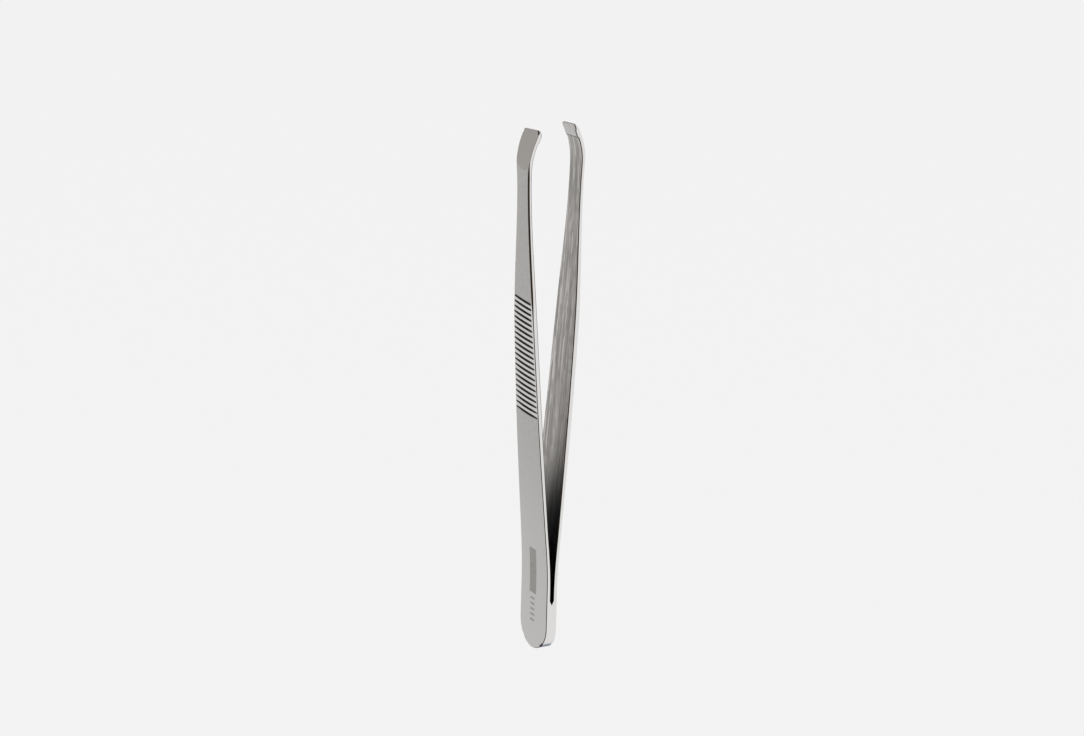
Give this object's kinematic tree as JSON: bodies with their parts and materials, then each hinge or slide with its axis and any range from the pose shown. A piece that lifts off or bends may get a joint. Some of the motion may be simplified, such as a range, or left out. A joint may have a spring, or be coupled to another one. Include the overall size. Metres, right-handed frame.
{
  "type": "slant tweezers",
  "caption": "Sprung steel tweezers with ribbed grips, bent slanted tips and a rounded butt welded round a notched spacer; each arm closes under a finger.",
  "frame": {"origin": "lowest point of the rounded butt end, midway between the arms and midway across their width", "axes": "+Z from the butt to the tips, +X from the left arm to the right arm, -Y towards the longer corner of the slanted tips"},
  "size_m": [0.0112, 0.0088, 0.0948],
  "materials": {
    "arm_steel": "satin, with polished edges",
    "spacer_steel": "polished edge"
  },
  "bodies": {
    "butt": {"spacer": "spacer_steel", "left_arm_heel": "arm_steel", "right_arm_heel": "arm_steel"},
    "left_arm": {"left_arm_blade": "arm_steel"},
    "right_arm": {"right_arm_blade": "arm_steel"}
  },
  "joints": [
    {"name": "left_arm_flex", "type": "hinge", "parent": "butt", "child": "left_arm", "pos_m": [-0.00088, 0, 0.015], "axis": [0, 1, 0], "range_deg": [0, 2.39], "stiffness_Nm_per_rad": 2.2},
    {"name": "right_arm_flex", "type": "hinge", "parent": "butt", "child": "right_arm", "pos_m": [0.00088, 0, 0.015], "axis": [0, -1, 0], "range_deg": [0, 2.39], "stiffness_Nm_per_rad": 2.2}
  ]
}
